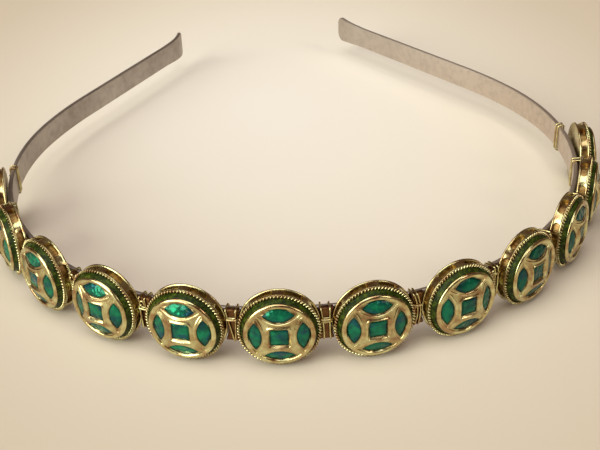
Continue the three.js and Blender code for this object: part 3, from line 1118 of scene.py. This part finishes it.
link = {  # the plate between two medallions
    "thickness": 1.0,
    "bottom": 0.75,  # above the strip's middle plane
    "outline": (  # half width, height
        (0.66, 0.0), (0.68, 0.9), (0.86, 1.6), (1.1, 2.4), (1.36, 3.2), (1.3, 3.4),
    ),
    "edge": ((0.12, 0.0), (0.03, 0.06), (0.0, 0.12)),  # below the face, inwards
    "endsBeyond": 3.0,  # only the ends beyond this height are rounded upwards too
    "recess": 0.2,
    "smoothAngle": 40,
}


def linkShell():
    upper = list(link["outline"])
    right = [(x, -y) for x, y in upper[:0:-1]] + upper
    outline = right + [(-x, -y) for x, y in right]
    top = link["bottom"] + link["thickness"]
    levels = [(link["bottom"], 0.0)] + [(top - below, inset) for below, inset in link["edge"]]
    shell = newShell()
    rings = []
    for height, inset in levels:
        points = []
        for x, y in outline:
            inwards = inset if abs(y) > link["endsBeyond"] else 0.0
            points.append((x - math.copysign(inset, x), y - math.copysign(inwards, y), height))
        rings.append(addRing(shell, points, link["recess"]))
    bridgeAll(shell, rings)
    capRing(shell, rings[0], link["bottom"], link["recess"])
    capRing(shell, rings[-1], top, link["recess"])
    return shell


def frameTurn(back, front, halfHeight, corner):  # a rounded frame: points of depth and height
    points = []
    steps, sideSteps = wire["cornerSteps"], wire["sideSteps"]
    middle, halfDepth = (front + back) / 2, (front - back) / 2
    straight = halfHeight - corner
    for quarter, (across, upwards) in enumerate(((1, 1), (-1, 1), (-1, -1), (1, -1))):
        x, y = middle + across * (halfDepth - corner), upwards * straight
        for i in range(steps + 1):
            angle = (quarter + i / steps) * math.pi / 2
            points.append((x + corner * math.cos(angle), y + corner * math.sin(angle)))
        if quarter % 2 == 1:  # down the back or up the front
            for i in range(1, sideSteps):
                points.append((middle + across * halfDepth, y * (1 - 2 * i / sideSteps)))
    return points


def turnAt(turn, height):  # where a turn of wire stands along the strip, at a height
    top, foot, bend = turn
    reach = wire["halfHeight"]
    return foot + (top - foot) * (height + reach) / (2 * reach) + bend * (1 - (height / reach) ** 2)


def turnPath(turn, back, front):
    points = []
    for out, up in frameTurn(back, front, wire["halfHeight"], wire["corner"]):
        up *= 1 - wire["taper"] * (front - out) / (front - back)
        points.append((turnAt(turn, up), up, out))
    return points


def tiePath(turns, height, front):
    reach = wire["radius"] + wire["tieRoom"]
    left, right = sorted(turnAt(turn, height) for turn in turns)
    loop = frameTurn(left - reach, right + reach, reach, reach * wire["tieCorner"])
    return [(x, height, front + z) for x, z in loop]


def curlPath(middle, front):
    x, y = middle
    radius = wire["curlRadius"]
    turns = [math.radians(turn) for turn in wire["curlTurns"]]
    return [(x + radius * math.cos(turn), y + radius * math.sin(turn),
             front + wire["curlLift"] + wire["curlRise"] * turn) for turn in turns]


def wrapPaths(wrap, front):  # the closed loops and the open ends of wire
    back = -(strip["thickness"] / 2 + wire["gap"] + wire["radius"])
    loops = [turnPath(turn, back, front) for turn in wrap["turns"]]
    for number in range(wrap["ties"]):
        lift = (number - (wrap["ties"] - 1) / 2) * wire["tieSpacing"] * wire["radius"]
        loops.append(tiePath(wrap["turns"], wrap["tie"] + lift, front))
    return loops, [curlPath(wrap["curl"], front)] if wrap["curl"] else []


def wireTree():
    tree, given = newTree("wireFromPaths", {
        "Geometry": "Geometry", "Wire Radius": "Float", "Sides": "Int"})
    path = addNode(tree, "GeometryNodeMeshToCurve", {"Mesh": given["Geometry"]})["Curve"]
    section = addNode(tree, "GeometryNodeCurvePrimitiveCircle", {
        "Resolution": given["Sides"], "Radius": given["Wire Radius"]})["Curve"]
    drawn = addNode(tree, "GeometryNodeCurveToMesh", {
        "Curve": path, "Profile Curve": section, "Fill Caps": True})["Mesh"]
    smooth = addNode(tree, "GeometryNodeSetShadeSmooth", {"Geometry": drawn})
    endTree(tree, smooth["Geometry"], gilt)
    return tree


def pathMesh(name, loops, ends):
    points, edges = [], []
    for path in loops + ends:
        indices = list(range(len(points), len(points) + len(path)))
        points += path
        edges += neighbours(indices) if path in loops else zip(indices, indices[1:])
    mesh = bpy.data.meshes.new(name)
    mesh.from_pydata(points, edges, [])
    return mesh


def makeWraps():
    tree = wireTree()
    lastMedallion = (medallions["count"] - 1) / 2 * medallions["pitch"]
    for i, wrap in enumerate(wraps):
        name = f"wireWrap{i + 1:02d}"
        isEnd = i in (0, len(wraps) - 1)
        distance = (i - (len(wraps) - 1) / 2) * medallions["pitch"]
        if isEnd:
            distance = math.copysign(lastMedallion + wire["endDistance"], distance)
        front = strip["thickness"] / 2 if isEnd else link["bottom"] + link["thickness"]
        paths = pathMesh(name + "Path", *wrapPaths(wrap, front + wire["gap"] + wire["radius"]))
        wires = grow(name, paths, tree, {"Wire Radius": wire["radius"], "Sides": wire["sides"]})
        parts = [(wires, gilt)]
        if not isEnd:
            parts.append((meshFrom(linkShell(), "link", link["smoothAngle"]), plateGilding))
        mesh = joined(name + "Mesh", parts, [gilt, plateGilding])
        mesh.transform(placeAt(distance))
        finishPiece(name, mesh, [f"wire_wrap_{i + 1:02d}"])


makeWraps()
print("wire wraps made")


# Floor, light and camera, in metres. A light is far away: its name, the side it comes from, its
# breadth in degrees, its strength and its colour.

studio = {
    "floorRadius": 20.0,
    "floorMiddle": 0.2,  # share of the radius
    "floorSides": 96,
    "floorRoughness": 0.75,
    "floorCentre": (0.0, -0.12, 0.0),  # of its painted pool of light
    "floorScale": (4.6, 3.1, 1.0),
    # painted pool of light: pale in the middle, darker outwards
    "floorStops": (0.0, 0.22, 0.5, 0.9),
    "floorColors": ((0.88, 0.83, 0.77), (0.86, 0.79, 0.69), (0.60, 0.50, 0.38), (0.57, 0.47, 0.355)),
    "worldColor": (0.13, 0.08, 0.055),
    "worldStrength": 1.0,
    "lights": (
        ("overhead", (-0.3, -0.35, 1.9), 56, 1.65, (0.99, 0.98, 0.94)),
        ("key", (-1.2, -0.84, 0.64), 46, 3.1, (0.96, 1.0, 0.89)),
        ("fill", (1.1, -1.0, 1.0), 18, 0.4, (1.0, 0.90, 0.80)),
    ),
}

view = {
    "sensorWidth": 36.0,  # this and the lens in millimetres
    "lens": 62.376,
    "spot": (-0.016377, -0.229041, 0.121033),
    "yaw": 0.079,  # radians
    "pitch": 0.5359,
    "roll": -0.0428,
}


def shadeFloor(tree, finish):
    spot = addNode(tree, "ShaderNodeMapping", {
        "Vector": addNode(tree, "ShaderNodeTexCoord")["Object"],
        "Location": finish["floorCentre"],
        "Scale": finish["floorScale"]})["Vector"]
    distance = addNode(tree, "ShaderNodeVectorMath", {0: spot}, operation="LENGTH")["Value"]
    # a painted pool of light, darker outwards
    pale = ramp(tree, distance, finish["floorStops"], finish["floorColors"])
    pale.node.color_ramp.interpolation = "B_SPLINE"
    return {"Base Color": pale, "Roughness": finish["floorRoughness"]}


def makeFloor():
    shell = newShell()
    radius, sides = studio["floorRadius"], studio["floorSides"]
    middle = addRing(shell, circle(radius * studio["floorMiddle"], 0, sides))
    capRing(shell, middle, 0)
    turnProfile(shell, middle, ((radius, 0, 0),), sides)
    mesh = meshFrom(shell, "floor")
    mesh.materials.append(makeMaterial("paleFloor", studio, shadeFloor))
    if mesh.polygons[0].normal.z < 0:
        mesh.flip_normals()
    addObject("floor", mesh)


def addLight(name, spot, breadth, strength, color):
    data = bpy.data.lights.new(name, "SUN")
    data.angle = math.radians(breadth)
    data.energy = strength
    data.color = color
    turn = (-Vector(spot)).to_track_quat("-Z", "Y").to_matrix().to_4x4()
    addObject(name, data).matrix_world = Matrix.Translation(spot) @ turn


def makeLights():
    world = bpy.data.worlds.new("studio")
    world.use_nodes = True
    feed(world.node_tree, world.node_tree.nodes["Background"], {
        "Color": (*studio["worldColor"], 1.0), "Strength": studio["worldStrength"]})
    scene.world = world
    for light in studio["lights"]:
        addLight(*light)


def makeCamera():
    data = bpy.data.cameras.new("camera")
    data.sensor_width = view["sensorWidth"]
    data.lens = view["lens"]
    yaw, pitch, roll = view["yaw"], view["pitch"], view["roll"]
    level = Vector((math.cos(yaw), -math.sin(yaw), 0))
    ahead = Vector((math.sin(yaw), math.cos(yaw), 0))
    forward = math.cos(pitch) * ahead - math.sin(pitch) * Vector((0, 0, 1))
    above = level.cross(forward)
    right = math.cos(roll) * level + math.sin(roll) * above
    up = math.cos(roll) * above - math.sin(roll) * level
    turn = Matrix((right, up, -forward)).transposed().to_4x4()
    scene.camera = addObject("camera", data)
    scene.camera.matrix_world = Matrix.Translation(view["spot"]) @ turn


makeFloor()
makeLights()
makeCamera()
scene.view_settings.view_transform = "Standard"
print("studio set up")
